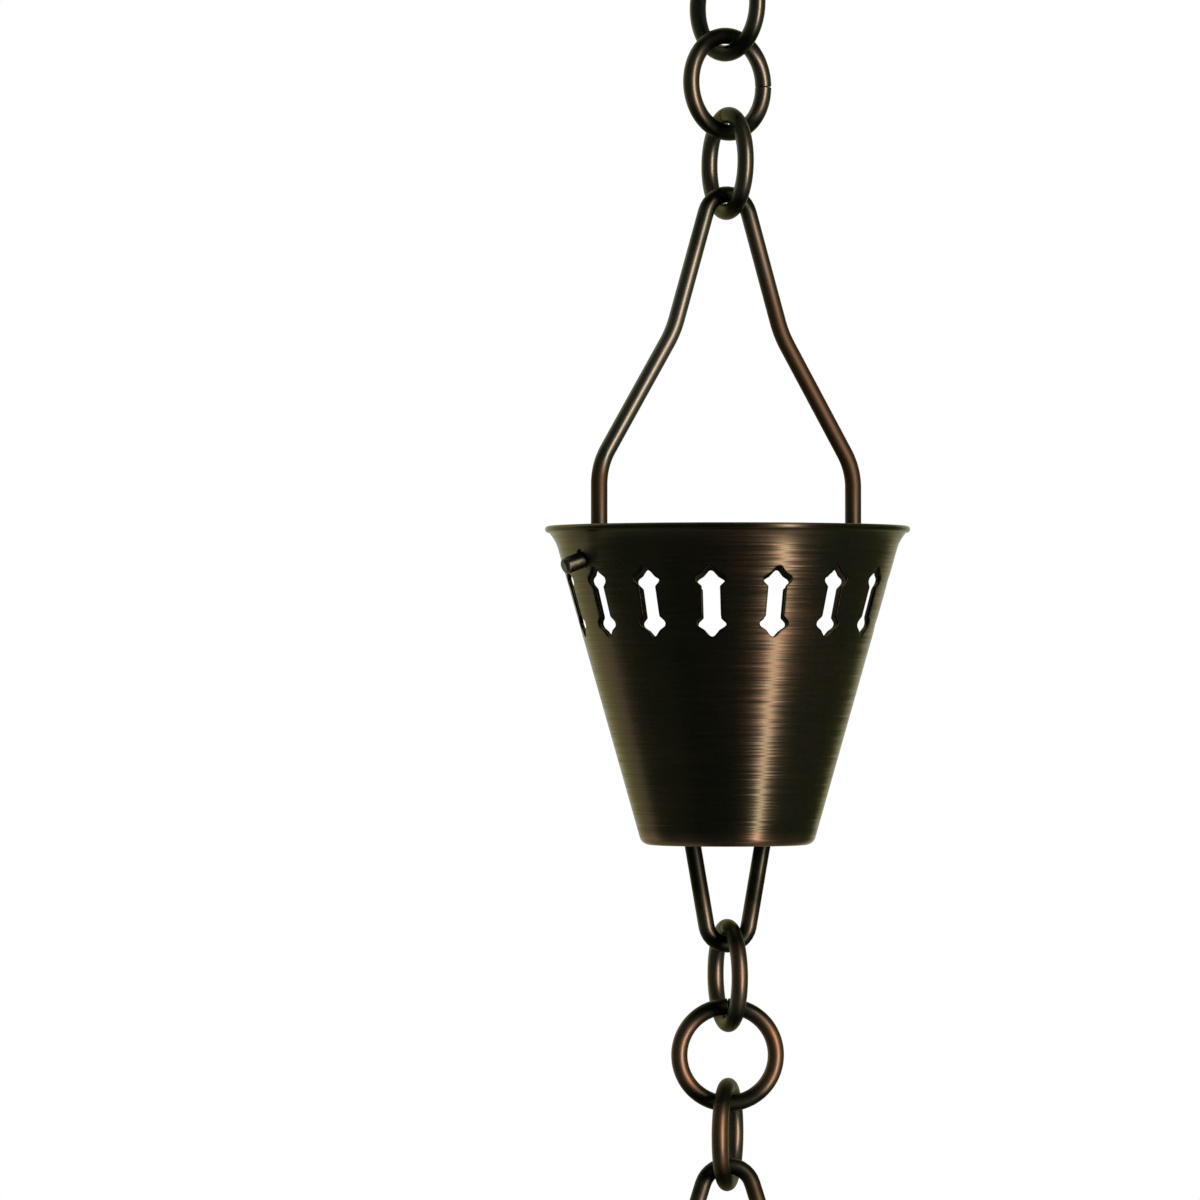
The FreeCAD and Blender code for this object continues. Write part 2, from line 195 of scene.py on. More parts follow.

# Painted light along a bail, by shares of its run from one end: at 1 a brighter, slightly rougher
# stretch stands in for a painted highlight on the first leg, and at -1 a dull brown, rougher stretch
# stands in for painted shade at that leg's foot and along the other leg.
PAINTED_LIGHT_ALONG_BAIL = {
    0.0: 0.0,
    0.05: 0.0,
    0.07: -0.9,
    0.13: -0.9,
    0.18: 1.0,
    0.42: 1.0,
    0.5: 0.0,
    0.6: -0.9,
    0.93: -0.9,
    0.95: 0.0,
}

# Colours of the metal.
SHEET_DARK = (0.045, 0.047, 0.029)
SHEET_BROWN = (0.130, 0.074, 0.048)
WORN_COPPER = (0.340, 0.190, 0.115)
WIRE_PATINA = (0.094, 0.101, 0.076)
WIRE_BROWN = (0.165, 0.086, 0.044)
# Painted shade and painted highlight along a bail: a dull brown, and a brighter patina.
WIRE_PAINTED_SHADE = (0.078, 0.049, 0.027)
WIRE_PAINTED_HIGHLIGHT = (0.145, 0.140, 0.108)
# Near black: painted shade in the slots, under the rim's bead and where wires touch, and also the dark
# patches of grime on the wire.
SHADE_AND_TARNISH = (0.020, 0.021, 0.014)
GRAZING_TINT = (0.72, 0.70, 0.52)

# Grain of the metal: how often it changes over a metre along each axis, and its detail.
# The grain drawn along a wire goes by the run along it and by the turn around it.
BRUSH = ((70, 70, 1500), 3.0)
STROKE = ((30, 30, 2600), 3.0)
CLOUD = ((38, 38, 26), 4.0)
DRAWN = ((90, 3, 3), 2.0)
PATCH = ((75, 75, 75), 2.0)
GRAIN_ROUGHNESS = 0.55

# How one value follows another: from this low and high, to this low and high.
CLOUD_TO_BROWN = (0.35, 0.7, 0.25, 1.0)
BRUSH_TO_BROWN = (0.2, 0.85, 0.15, 0.85)
CLOUD_TO_COPPER = (0.3, 0.7, 0.15, 0.75)
STROKE_TO_LEAN = (0.2, 0.8, -0.07, 0.07)
SHEET_BROWN_TO_ROUGHNESS = (0.0, 0.6, 0.30, 0.44)
PATCH_TO_BROWN = (0.36, 0.62, 0.3, 1.0)
DRAWN_TO_BROWN = (0.2, 0.6, 0.4, 1.0)
PATCH_TO_GRIME = (0.3, 0.7, -0.25, 0.25)
SHADE_AND_GRIME_TO_BLACK = (0.2, 0.75, 0.0, 1.0)
WIRE_BROWN_TO_ROUGHNESS = (0.0, 0.7, 0.31, 0.45)
# The painted highlight and painted shade along a bail also make it rougher.
HIGHLIGHT_ON_BAIL_TO_ROUGHNESS = (0.0, 1.0, 0.0, 0.07)
SHADE_ON_BAIL_TO_ROUGHNESS = (0.0, 1.0, 0.0, 0.25)

# Brushing of the sheet, and the relief of both grains.
BRUSH_ANISOTROPY = 0.85
BRUSH_QUARTER_TURN = 0.25
SHEET_RELIEF = 0.3
WIRE_RELIEF = 0.1
RELIEF_DEPTH = 0.04 * MM

# Camera: it looks at the middle cup from a little below the rim.
CAMERA_AZIMUTH = math.radians(-33.75)
CAMERA_DISTANCE = 1.6
CAMERA_HEIGHT = -0.409
AIM_HEIGHT = -0.3917
AIM_LEFT_OF_CHAIN = 0.0311
FRAME_HEIGHT = 0.2926
SENSOR = 36.0

# Studio: a white surround, a pale floor that fades into it, and a warm, narrow lamp.
WHITE = (1.0, 1.0, 1.0)
SURROUND_LIGHT = 0.45
STAGE_LEVEL = -1.25
STAGE_RADIUS = 12.0
STAGE_SIDES = 96
STAGE_PALE = (0.9, 0.9, 0.9)
STAGE_ROUGHNESS = 0.9
STAGE_FADE = (1.2, 3.2)
LAMP_COLOUR = (1.0, 0.79, 0.72)
LAMP_AZIMUTH = math.radians(39.5)
LAMP_DISTANCE = 1.45
LAMP_HEIGHT = -0.40
LAMP_WIDTH = 0.13
LAMP_LENGTH = 1.6
LAMP_POWER = 27

# Dark screens that the metal mirrors: between which angles from the camera each stands, in degrees,
# and its colour.
CARDS = {
    "left_card": (-107, -48, (0.14, 0.19, 0.155)),
    "front_card": (-48, 34, (0.08, 0.11, 0.105)),
    "side_card": (45, 145, (0.20, 0.275, 0.25)),
}
CARD_BOTTOM = STAGE_LEVEL + 0.01
CARD_TOP = 1.2
CARD_RADIUS = 1.7
CARD_TURNED_IN_TO = 0.2
CARD_STEPS = 24


# Small helpers for node trees, meshes and objects.

def add_node(tree, kind, inputs=None, **settings):
    """A node of a tree, with its settings and with values or links for its inputs."""
    node = tree.nodes.new(kind)
    for name, value in settings.items():
        setattr(node, name, value)
    for key, value in (inputs or {}).items():
        if isinstance(value, bpy.types.NodeSocket):
            tree.links.new(value, node.inputs[key])
        else:
            node.inputs[key].default_value = value
    return node


def calculate(tree, operation, first, second=0.0, held=False):
    """The result of a sum or other operation on two values, held between 0 and 1 if asked."""
    result = add_node(tree, "ShaderNodeMath", {0: first, 1: second}, operation=operation, use_clamp=held)
    return result.outputs[0]


def read_values(items, field, width=1, kind=float):
    """A field of all items of a mesh, with one row for each item where it has several values."""
    values = np.empty(len(items) * width, kind)
    items.foreach_get(field, values)
    return values.reshape(-1, width) if width > 1 else values


def note_values(mesh, name, values):
    """Note a value for each vertex of a mesh under a name."""
    mesh.attributes.new(name, "FLOAT", "POINT").data.foreach_set("value", values)


def add_object(name, data):
    """An object in the scene that holds this mesh, lamp or camera."""
    thing = bpy.data.objects.new(name, data)
    bpy.context.scene.collection.objects.link(thing)
    return thing


# Geometry trees.

def new_geometry_tree(name, inputs):
    """A geometry tree with a shape coming in and going out, and named inputs for its sizes."""
    tree = bpy.data.node_groups.new(name, "GeometryNodeTree")
    tree.interface.new_socket("Geometry", in_out="INPUT", socket_type="NodeSocketGeometry")
    tree.interface.new_socket("Geometry", in_out="OUTPUT", socket_type="NodeSocketGeometry")
    for label, kind in inputs:
        tree.interface.new_socket(label, in_out="INPUT", socket_type=kind)
    return tree, tree.nodes.new("NodeGroupInput").outputs


def hang_and_finish(tree, shape, group):
    """The end of each tree: turn the shape, lower it to its place and give it its material."""
    turn = add_node(tree, "ShaderNodeCombineXYZ", {"Z": group["Turn"]})
    lower = add_node(tree, "ShaderNodeCombineXYZ", {"Z": group["Height"]})
    hung = add_node(tree, "GeometryNodeTransform", {
        "Geometry": shape, "Translation": lower.outputs[0], "Rotation": turn.outputs[0],
    })
    real = add_node(tree, "GeometryNodeRealizeInstances", {"Geometry": hung.outputs[0]})
    smooth = add_node(tree, "GeometryNodeSetShadeSmooth", {"Geometry": real.outputs[0]})
    dressed = add_node(tree, "GeometryNodeSetMaterial", {
        "Geometry": smooth.outputs[0], "Material": group["Material"],
    })
    add_node(tree, "NodeGroupOutput", {"Geometry": dressed.outputs[0]})


def store_value(tree, shape, name, value):
    """Note a value at each point of a shape under a name."""
    return add_node(tree, "GeometryNodeStoreNamedAttribute", {
        "Geometry": shape, "Name": name, "Value": value,
    }, data_type="FLOAT", domain="POINT").outputs[0]


def sweep_wire(tree, path, group):
    """Sweep the wire's round section along a path, and note the run along and the turn around it."""
    run = add_node(tree, "GeometryNodeSplineParameter").outputs
    section = add_node(tree, "GeometryNodeCurvePrimitiveCircle", {
        "Resolution": group["Around"], "Radius": group["Wire Radius"],
    })
    swept = add_node(tree, "GeometryNodeCurveToMesh", {
        "Curve": store_value(tree, path, "wire_run", run["Length"]),
        "Profile Curve": store_value(tree, section.outputs[0], "wire_turn", run["Factor"]),
        "Fill Caps": True,
    })
    return swept.outputs[0]


PLACE_INPUTS = [
    ("Turn", "NodeSocketFloat"),
    ("Height", "NodeSocketFloat"),
    ("Material", "NodeSocketMaterial"),
]
WIRE_INPUTS = [("Wire Radius", "NodeSocketFloat"), ("Around", "NodeSocketInt")] + PLACE_INPUTS


def make_ring_tree():
    """A jump ring: an arc of wire that stops short of a full turn by the gap of its butt joint."""
    tree, group = new_geometry_tree("jump_ring", [
        ("Bend Radius", "NodeSocketFloat"),
        ("Joint Gap", "NodeSocketFloat"),
        ("Joint Place", "NodeSocketFloat"),
        ("Along", "NodeSocketInt"),
    ] + WIRE_INPUTS)
    gap = calculate(tree, "DIVIDE", group["Joint Gap"], group["Bend Radius"])
    half_gap = calculate(tree, "DIVIDE", gap, 2.0)
    arc = add_node(tree, "GeometryNodeCurveArc", {
        "Resolution": group["Along"],
        "Radius": group["Bend Radius"],
        "Start Angle": calculate(tree, "ADD", group["Joint Place"], half_gap),
        "Sweep Angle": calculate(tree, "SUBTRACT", math.tau, gap),
    })
    upright = add_node(tree, "GeometryNodeTransform", {
        "Geometry": arc.outputs[0], "Rotation": (math.pi / 2, 0, 0),
    })
    hang_and_finish(tree, sweep_wire(tree, upright.outputs[0], group), group)
    return tree


def make_bent_wire_tree():
    """A bent wire: a line of corners, rounded by each corner's own bend, and swept."""
    tree, group = new_geometry_tree("bent_wire", [("Bend Steps", "NodeSocketInt")] + WIRE_INPUTS)
    line = add_node(tree, "GeometryNodeMeshToCurve", {"Mesh": group["Geometry"]})
    bend = add_node(tree, "GeometryNodeInputNamedAttribute", {"Name": "bend"}, data_type="FLOAT")
    rounded = add_node(tree, "GeometryNodeFilletCurve", {
        "Curve": line.outputs[0], "Count": group["Bend Steps"], "Radius": bend.outputs["Attribute"],
    }, mode="POLY")
    hang_and_finish(tree, sweep_wire(tree, rounded.outputs[0], group), group)
    return tree


def make_cup_tree():
    """A cup: one sector of the wall repeated all round, then drilled for the ends of its bail."""
    tree, group = new_geometry_tree("pierced_cup", [
        ("Slot Count", "NodeSocketInt"),
        ("Hole Beside Slot", "NodeSocketFloat"),
        ("Hole Radius", "NodeSocketFloat"),
        ("Hole Height", "NodeSocketFloat"),
        ("Hole Length", "NodeSocketFloat"),
    ] + PLACE_INPUTS)
    points = add_node(tree, "GeometryNodePoints", {"Count": group["Slot Count"]})
    number = add_node(tree, "GeometryNodeInputIndex")
    beside_hole = calculate(tree, "SUBTRACT", number.outputs[0], group["Hole Beside Slot"])
    share = calculate(tree, "DIVIDE", beside_hole, group["Slot Count"])
    turned = add_node(tree, "ShaderNodeCombineXYZ", {"Z": calculate(tree, "MULTIPLY", share, math.tau)})
    copies = add_node(tree, "GeometryNodeInstanceOnPoints", {
        "Points": points.outputs[0], "Instance": group["Geometry"], "Rotation": turned.outputs[0],
    })
    real = add_node(tree, "GeometryNodeRealizeInstances", {"Geometry": copies.outputs[0]})
    joined = add_node(tree, "GeometryNodeMergeByDistance", {
        "Geometry": real.outputs[0], "Distance": JOIN_SECTORS,
    })
    drill = add_node(tree, "GeometryNodeMeshCylinder", {
        "Vertices": HOLE_SIDES, "Radius": group["Hole Radius"], "Depth": group["Hole Length"],
    })
    level = add_node(tree, "ShaderNodeCombineXYZ", {"Z": group["Hole Height"]})
    across = add_node(tree, "GeometryNodeTransform", {
        "Geometry": drill.outputs[0], "Translation": level.outputs[0], "Rotation": (0, math.pi / 2, 0),
    })
    drilled = add_node(tree, "GeometryNodeMeshBoolean", {
        "Mesh 1": joined.outputs[0], "Mesh 2": across.outputs[0],
    }, operation="DIFFERENCE", solver="EXACT")
    hang_and_finish(tree, drilled.outputs[0], group)
    return tree


def run_tree(name, mesh, tree, values, end_round=0.0):
    """Run a tree on a mesh with these values, and return the result as a plain piece."""
    source = add_object(name + "_source", mesh)
    nodes = source.modifiers.new("shape", "NODES")
    nodes.node_group = tree
    for socket in tree.interface.items_tree:
        if socket.in_out == "INPUT" and socket.name in values:
            nodes[socket.identifier] = values[socket.name]
    if end_round:
        rounding = source.modifiers.new("ends", "BEVEL")
        rounding.width = end_round
        rounding.segments = END_ROUND_STEPS
        rounding.limit_method = "ANGLE"
        rounding.angle_limit = END_ROUND_ANGLE
    evaluated = source.evaluated_get(bpy.context.evaluated_depsgraph_get())
    shape = bpy.data.meshes.new_from_object(evaluated)
    shape.name = name
    bpy.data.objects.remove(source)
    return add_object(name, shape)


# Wire pieces.

def middle_height(node):
    """The height of the middle of a solid of the frame."""
    low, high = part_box(node)
    return (low.z + high.z) / 2


def floor_height(number):
    """The height of the underside of a cup's floor."""
    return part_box(f"cup_{number}")[0].z


def note_patina_and_shade(piece, node, links):
    """Note a wire's copper, and a painted shade near the heights where it touches the pieces next to it.
    """
    heights = read_values(piece.data.vertices, "co", 3)[:, 2]
    away = np.min([np.abs(heights - link) for link in links], axis=0)
    note_values(piece.data, "contact_shade", np.clip(1 - away / CONTACT_SHADE_REACH, 0, 1))
    note_values(piece.data, "copper", np.full(len(heights), COPPER.get(node, PLAIN_COPPER)))


def note_painted_light(piece):
    """Note the painted highlight and painted shade along a bail's run."""
    run = read_values(piece.data.attributes["wire_run"].data, "value")
    shares, painted_light = zip(*PAINTED_LIGHT_ALONG_BAIL.items())
    note_values(piece.data, "painted_light", np.interp(run / run.max(), shares, painted_light))


def make_ring(node, tree, material):
    """One jump ring, with its butt joint at its side or its top."""
    height = middle_height(node)
    piece = run_tree(node + "_wire", bpy.data.meshes.new(node), tree, {
        "Bend Radius": RING_RADIUS, "Joint Gap": RING_JOINT_GAP, "Along": RING_STEPS,
        "Joint Place": math.pi if node in SIDE_JOINTS else math.pi / 2,
        "Wire Radius": WIRE_RADIUS, "Around": WIRE_SIDES, "Material": material,
        "Turn": math.radians(TURNS[node]), "Height": height,
    }, RING_END_ROUND)
    note_patina_and_shade(piece, node, [height - RING_RADIUS, height + RING_RADIUS])
    return piece


def apex_corner(apex, bend, corner):
    """Where two like runs would meet on the axis, if the bend between them were a sharp corner.

    The bend touches the height of the apex, and each run goes on from it to a corner.
    """
    x, y = corner
    side = 1 if y < apex else -1
    middle = apex - side * bend
    drop = side * (middle - y)
    slant = math.atan2(x, drop) - math.asin(bend / math.hypot(x, drop))
    return middle + side * bend / math.sin(slant)


def wire_line(name, apex, apex_bend, corners, bends):
    """A line through the corners of a bent wire with two like halves, with each corner's bend."""
    top = apex_corner(apex, apex_bend, corners[0])
    places = [(-x, y) for x, y in reversed(corners)] + [(0, top)] + corners
    half_bends = bends + [0.0]
    mesh = bpy.data.meshes.new(name)
    runs = [(i, i + 1) for i in range(len(places) - 1)]
    mesh.from_pydata([(x, 0, z) for x, z in places], runs, [])
    note_values(mesh, "bend", half_bends[::-1] + [apex_bend] + half_bends)
    return mesh


def make_bent_wire(node, line, turn, height, tree, material):
    """A bail or hook from its line of corners."""
    return run_tree(node + "_wire", line, tree, {
        "Bend Steps": BEND_STEPS, "Wire Radius": WIRE_RADIUS, "Around": WIRE_SIDES,
        "Material": material, "Turn": math.radians(turn), "Height": height,
    }, WIRE_END_ROUND)


def make_bail(number, tree, material):
    """The wire over a cup, from the bend that hangs in a ring down to its two turned-out ends."""
    droop = math.tan(BAIL_END_DROOP)
    corners = [
        BAIL_KNEE,
        (BAIL_LEG, BAIL_ANKLE_RISE),
        (BAIL_LEG, (BAIL_PIVOT - BAIL_LEG) * droop),
        (BAIL_TIP, (BAIL_PIVOT - BAIL_TIP) * droop),
    ]
    bends = [BAIL_KNEE_BEND, BAIL_ANKLE_BEND, BAIL_END_BEND]
    line = wire_line("bail", BAIL_RISE, BAIL_TOP_BEND, corners, bends)
    height = floor_height(number) + HOLE_HEIGHT
    node = f"bail_{number}"
    piece = make_bent_wire(node, line, TURNS[f"cup_{number}"], height, tree, material)
    note_patina_and_shade(piece, node, [height + BAIL_RISE])
    note_painted_light(piece)
    return piece


def make_hook(number, tree, material):
    """The wire below a cup, from its two feet on the floor down to the bend that carries a ring."""
    corners = [(HOOK_HALF_WIDTH, HOOK_FOOT_RISE), (HOOK_FOOT_REACH, HOOK_FOOT_RISE)]
    line = wire_line("hook", -HOOK_DROP, HOOK_BEND, corners, [HOOK_FOOT_BEND])
    height = floor_height(number)
    node = f"hook_{number}"
    piece = make_bent_wire(node, line, TURNS[node], height, tree, material)
    note_patina_and_shade(piece, node, [height - HOOK_DROP, height])
    return piece


# Cups.

def cone_radius(height):
    """The outside radius of the straight part of the wall."""
    return FLOOR_RADIUS + CONE_SLOPE * height


def arc_points(centre, radius, start, end, steps):
    """Points on an arc in the section's plane, both ends included."""
    angles = np.linspace(start, end, steps + 1)
    return [(centre[0] + radius * math.cos(a), centre[1] + radius * math.sin(a)) for a in angles]


def straight_points(start, end, steps):
    """Points on a straight run, both ends included."""
    return [tuple(point) for point in np.linspace(start, end, steps + 1)]


def join_runs(runs):
    """One list of (radius, height, wear) from runs, each from where the last one ended; a wear below 0
    stands for painted shade.
    """
    first_run, first_wear_and_shade = runs[0]
    section = [(*first_run[0], first_wear_and_shade)]
    for run, wear_and_shade in runs:
        section += [(*point, wear_and_shade) for point in run[1:]]
    return section


def lower_section():
    """The section below the slots: inside of the wall, floor, drain's edge, floor and outside."""
    tangent = FLOOR_CORNER * math.tan((math.pi / 2 - CONE_TILT) / 2)
    centre = (FLOOR_RADIUS - tangent, FLOOR_CORNER)
    out = -CONE_TILT
    down = -math.pi / 2
    edge = SHEET / 2
    inside_top = (cone_radius(BAND_LOW) - WALL_ACROSS, BAND_LOW)
    outside_top = (cone_radius(BAND_LOW), BAND_LOW)
    inner_corner = arc_points(centre, FLOOR_CORNER - SHEET, out, down, INNER_CORNER_STEPS)
    outer_corner = arc_points(centre, FLOOR_CORNER, down, out, OUTER_CORNER_STEPS)
    drain_middle = (DRAIN_RADIUS + edge, edge)
    drain = arc_points(drain_middle, edge, math.pi / 2, 3 * math.pi / 2, DRAIN_STEPS)
    return join_runs([
        (straight_points(inside_top, inner_corner[0], WALL_STEPS), 0),
        (inner_corner, 0),
        (straight_points(inner_corner[-1], drain[0], FLOOR_STEPS), 0),
        (drain, EDGE_WEAR),
        (straight_points(drain[-1], outer_corner[0], FLOOR_STEPS), 0),
        (outer_corner, FOOT_WEAR),
        (straight_points(outer_corner[-1], outside_top, WALL_STEPS), 0),
    ])


def upper_section():
    """The section above the slots: outside of the wall, lip, rolled bead of the rim and inside."""
    along = Vector((math.sin(CONE_TILT), math.cos(CONE_TILT)))
    outwards = Vector((along.y, -along.x))
    neck = Vector((NECK_RADIUS, NECK_HEIGHT))
    flare = Vector((RIM_RADIUS, CUP_HEIGHT)) - neck
    bow = flare.length_squared / (2 * flare.dot(outwards))
    centre = neck + outwards * bow
    start = math.atan2(neck.y - centre.y, neck.x - centre.x)
    edge = SHEET / 2
    middle_bow = bow + edge
    place = math.acos((RIM_RADIUS - RIM_BEAD_RADIUS - centre.x) / middle_bow)
    bead_middle = centre + middle_bow * Vector((math.cos(place), math.sin(place)))
    mouth = math.acos(edge / RIM_BEAD_RADIUS)
    end = place + RIM_BEAD_RADIUS * math.sin(mouth) / middle_bow
    outside = arc_points(centre, bow, start, end, LIP_STEPS)
    inside = arc_points(centre, bow + SHEET, end, start, LIP_STEPS)
    underside_start = place - math.pi - mouth
    bead_underside = arc_points(bead_middle, RIM_BEAD_RADIUS, underside_start, 0, BEAD_UNDERSIDE_STEPS)
    bead_top = arc_points(bead_middle, RIM_BEAD_RADIUS, 0, place + mouth, BEAD_TOP_STEPS)
    outside_bottom = (cone_radius(BAND_HIGH), BAND_HIGH)
    inside_bottom = (cone_radius(BAND_HIGH) - WALL_ACROSS, BAND_HIGH)
    return join_runs([
        (straight_points(outside_bottom, outside[0], SHOULDER_STEPS), 0),
        (outside, 0),
        # The underside of the bead is painted black, as painted shade.
        (bead_underside, BEAD_UNDERSIDE_SHADE),
        (bead_top, BEAD_TOP_WEAR),
        (inside, 0),
        (straight_points(inside[-1], inside_bottom, SHOULDER_STEPS), 0),
    ])


def slot_outline():
    """The slot's rounded outline about its middle, clockwise from the tip of the upper right wing."""
    wing = (SLOT_HALF_WING, SLOT_WING_HEIGHT)
    neck = (SLOT_HALF_BAR, SLOT_NECK_HEIGHT)
    low_neck, low_wing, low_notch = [(x, -y) for x, y in (neck, wing, SLOT_NOTCH)]
    low_tip = (0, -SLOT_HALF_HEIGHT)
    far_notch = (-SLOT_NOTCH[0], -SLOT_NOTCH[1])
    # Each corner of one half has a bend, its steps, and the steps of the run to the next corner.
    lobe = (SLOT_LOBE, LOBE_STEPS, 1)
    plain = (SLOT_CORNER, CORNER_STEPS, 1)
    before_bar = (SLOT_CORNER, CORNER_STEPS, BAR_STEPS)
    half = [wing, neck, low_neck, low_wing, low_notch, low_tip, far_notch]
    corners = half + [(-x, -y) for x, y in half]
    forms = [lobe, before_bar, plain, lobe, plain, lobe, plain] * 2
    bends = []
    for i, (radius, steps, _) in enumerate(forms):
        here = Vector(corners[i])
        back = (Vector(corners[i - 1]) - here).normalized()
        onward = (Vector(corners[(i + 1) % len(corners)]) - here).normalized()
        half_angle = back.angle(onward) / 2
        inwards = (back + onward).normalized()
        centre = here + inwards * (radius / math.sin(half_angle))
        facing = math.atan2(-inwards.y, -inwards.x)
        clockwise = back.cross(onward) > 0
        turn = (math.pi / 2 - half_angle) * (1 if clockwise else -1)
        bends.append(arc_points(centre, radius, facing + turn, facing - turn, steps))
    points = []
    for i, (_, _, run_steps) in enumerate(forms):
        following = bends[(i + 1) % len(bends)]
        points += bends[i] + straight_points(bends[i][-1], following[0], run_steps)[1:-1]
    wing_tip = LOBE_STEPS // 2
    return np.array(points[wing_tip:] + points[:wing_tip])


def grown(outline, distance):
    """An outline moved outwards, into the sheet."""
    along = np.roll(outline, -1, axis=0) - np.roll(outline, 1, axis=0)
    along /= np.linalg.norm(along, axis=1)[:, None]
    return outline + distance * np.column_stack([-along[:, 1], along[:, 0]])


def on_wall(outline, depth):
    """A slot's outline as angles and heights on the wall, at a depth as a share of its thickness.

    The slot is cut straight in, so it is equally wide at each depth.
    """
    heights = SLOT_MIDDLE + outline[:, 1]
    radii = cone_radius(heights) - depth * WALL_ACROSS
    return np.column_stack([np.arcsin(outline[:, 0] / radii), heights])


def band_edge():
    """The edge of one slot's part of the band, as angles and heights, in the outline's order."""
    right = straight_points((HALF_PITCH, BAND_HIGH), (HALF_PITCH, BAND_LOW), BAND_ROWS)
    bottom = straight_points((HALF_PITCH, BAND_LOW), (-HALF_PITCH, BAND_LOW), BAND_COLUMNS)
    left = [(-angle, height) for angle, height in reversed(right)]
    top = [(-angle, BAND_HIGH) for angle, _ in bottom]
    return np.array(right[:-1] + bottom[:-1] + left[:-1] + top[:-1])


def add_point(mesh, wear_and_shade_layer, radius, angle, height, wear_and_shade):
    """A vertex of the cup, with its wear, which stands for painted shade where it is below 0."""
    vert = mesh.verts.new((radius * math.cos(angle), radius * math.sin(angle), height))
    vert[wear_and_shade_layer] = wear_and_shade
    return vert


def wall_loop(mesh, wear_and_shade_layer, places, depth, wear_and_shade):
    """A loop of vertices on the wall from angles and heights, at a share of its thickness."""
    return [
        add_point(mesh, wear_and_shade_layer, cone_radius(height) - depth * WALL_ACROSS, angle, height, wear_and_shade)
        for angle, height in places
    ]


def slot_loop(mesh, wear_and_shade_layer, outline, depth):
    """A loop of vertices round the slot, painted black as painted shade."""
    return wall_loop(mesh, wear_and_shade_layer, on_wall(outline, depth), depth, SLOT_SHADE)


def spread_loops(mesh, wear_and_shade_layer, outline, depth):
    """Loops on one face of the wall from the edge of the band in to the slot's outline."""
    inner = on_wall(outline, depth)
    outer = band_edge()
    return [
        wall_loop(mesh, wear_and_shade_layer, inner + (outer - inner) * share, depth, 0.0)
        for share in BAND_SHARES
    ]


def add_slot_band(mesh, wear_and_shade_layer):
    """One slot's part of the band: outside face, rounded edge, cut through the sheet, inside face."""
    outline = slot_outline()
    edge = SLOT_EDGE_ROUND
    burr = SLOT_BURR_ROUND
    inside = grown(outline, burr)
    loops = spread_loops(mesh, wear_and_shade_layer, grown(outline, edge), 0.0)
    for step in range(EDGE_ROUND_STEPS + 1):
        angle = step / EDGE_ROUND_STEPS * math.pi / 2
        out = edge * (1 - math.sin(angle))
        depth = edge * (1 - math.cos(angle)) / SHEET
        loops.append(slot_loop(mesh, wear_and_shade_layer, grown(outline, out), depth))
    loops.append(slot_loop(mesh, wear_and_shade_layer, outline, 1 - burr / SHEET))
    loops.append(slot_loop(mesh, wear_and_shade_layer, inside, 1.0))
    loops += reversed(spread_loops(mesh, wear_and_shade_layer, inside, 1.0))
    for before, after in zip(loops, loops[1:]):
        for i in range(len(before)):
            j = (i + 1) % len(before)
            mesh.faces.new((after[i], after[j], before[j], before[i]))


def add_turned_part(mesh, wear_and_shade_layer, section):
    """One slot's share of a turned part of the cup, from its section."""
    angles = np.linspace(-HALF_PITCH, HALF_PITCH, BAND_COLUMNS + 1)
    rows = [
        [add_point(mesh, wear_and_shade_layer, radius, angle, height, wear_and_shade) for angle in angles]
        for radius, height, wear_and_shade in section
    ]
    for low, high in zip(rows, rows[1:]):
        for i in range(BAND_COLUMNS):
            mesh.faces.new((low[i], low[i + 1], high[i + 1], high[i]))


def make_cup_sector():
    """The share of a cup's wall that goes with one slot."""
    mesh = bmesh.new()
    wear_and_shade_layer = mesh.verts.layers.float.new("wear_and_shade")
    add_turned_part(mesh, wear_and_shade_layer, lower_section())
    add_slot_band(mesh, wear_and_shade_layer)
    add_turned_part(mesh, wear_and_shade_layer, upper_section())
    bmesh.ops.remove_doubles(mesh, verts=mesh.verts, dist=JOIN_IN_SECTOR)
    sector = bpy.data.meshes.new("cup_sector")
    mesh.to_mesh(sector)
    mesh.free()
    return sector


def true_cone_shading(piece, floor):
    """Give the straight wall the normals of a true cone, so that its gloss runs evenly."""
    mesh = piece.data
    normals = read_values(mesh.corner_normals, "vector", 3)
    sides = read_values(mesh.polygons, "loop_total", kind=int)
    flat = np.repeat(read_values(mesh.polygons, "normal", 3), sides, axis=0)
    corners = read_values(mesh.loops, "vertex_index", kind=int)
    x, y, z = read_values(mesh.vertices, "co", 3)[corners].T
    radius = np.hypot(x, y)
    height = z - floor
    cone = np.column_stack([
        x / radius * math.cos(CONE_TILT),
        y / radius * math.cos(CONE_TILT),
        np.full(len(radius), -math.sin(CONE_TILT)),
    ])
    on_cone = (height > FLOOR_CORNER) & (height < NECK_HEIGHT)
    for depth, sign in ((0.0, 1), (WALL_ACROSS, -1)):
        off = np.abs(radius - (cone_radius(height) - depth))
        facing = (flat * cone).sum(axis=1) * sign
        chosen = on_cone & (off < ON_CONE_WITHIN) & (facing > FACING_LIKE_CONE)
        normals[chosen] = cone[chosen] * sign
    mesh.normals_split_custom_set(normals.tolist())


def make_cup(number, sector, tree, material):
    """One cup, from the share of its wall that goes with one slot."""
    node = f"cup_{number}"
    piece = run_tree(node + "_sheet", sector, tree, {
        "Slot Count": SLOT_COUNT, "Hole Beside Slot": HOLE_BESIDE_SLOT,
        "Hole Radius": HOLE_RADIUS, "Hole Height": HOLE_HEIGHT, "Hole Length": 2 * RIM_RADIUS,
        "Material": material, "Turn": math.radians(TURNS[node]), "Height": floor_height(number),
    })
    true_cone_shading(piece, floor_height(number))
    return piece


# Finishes.

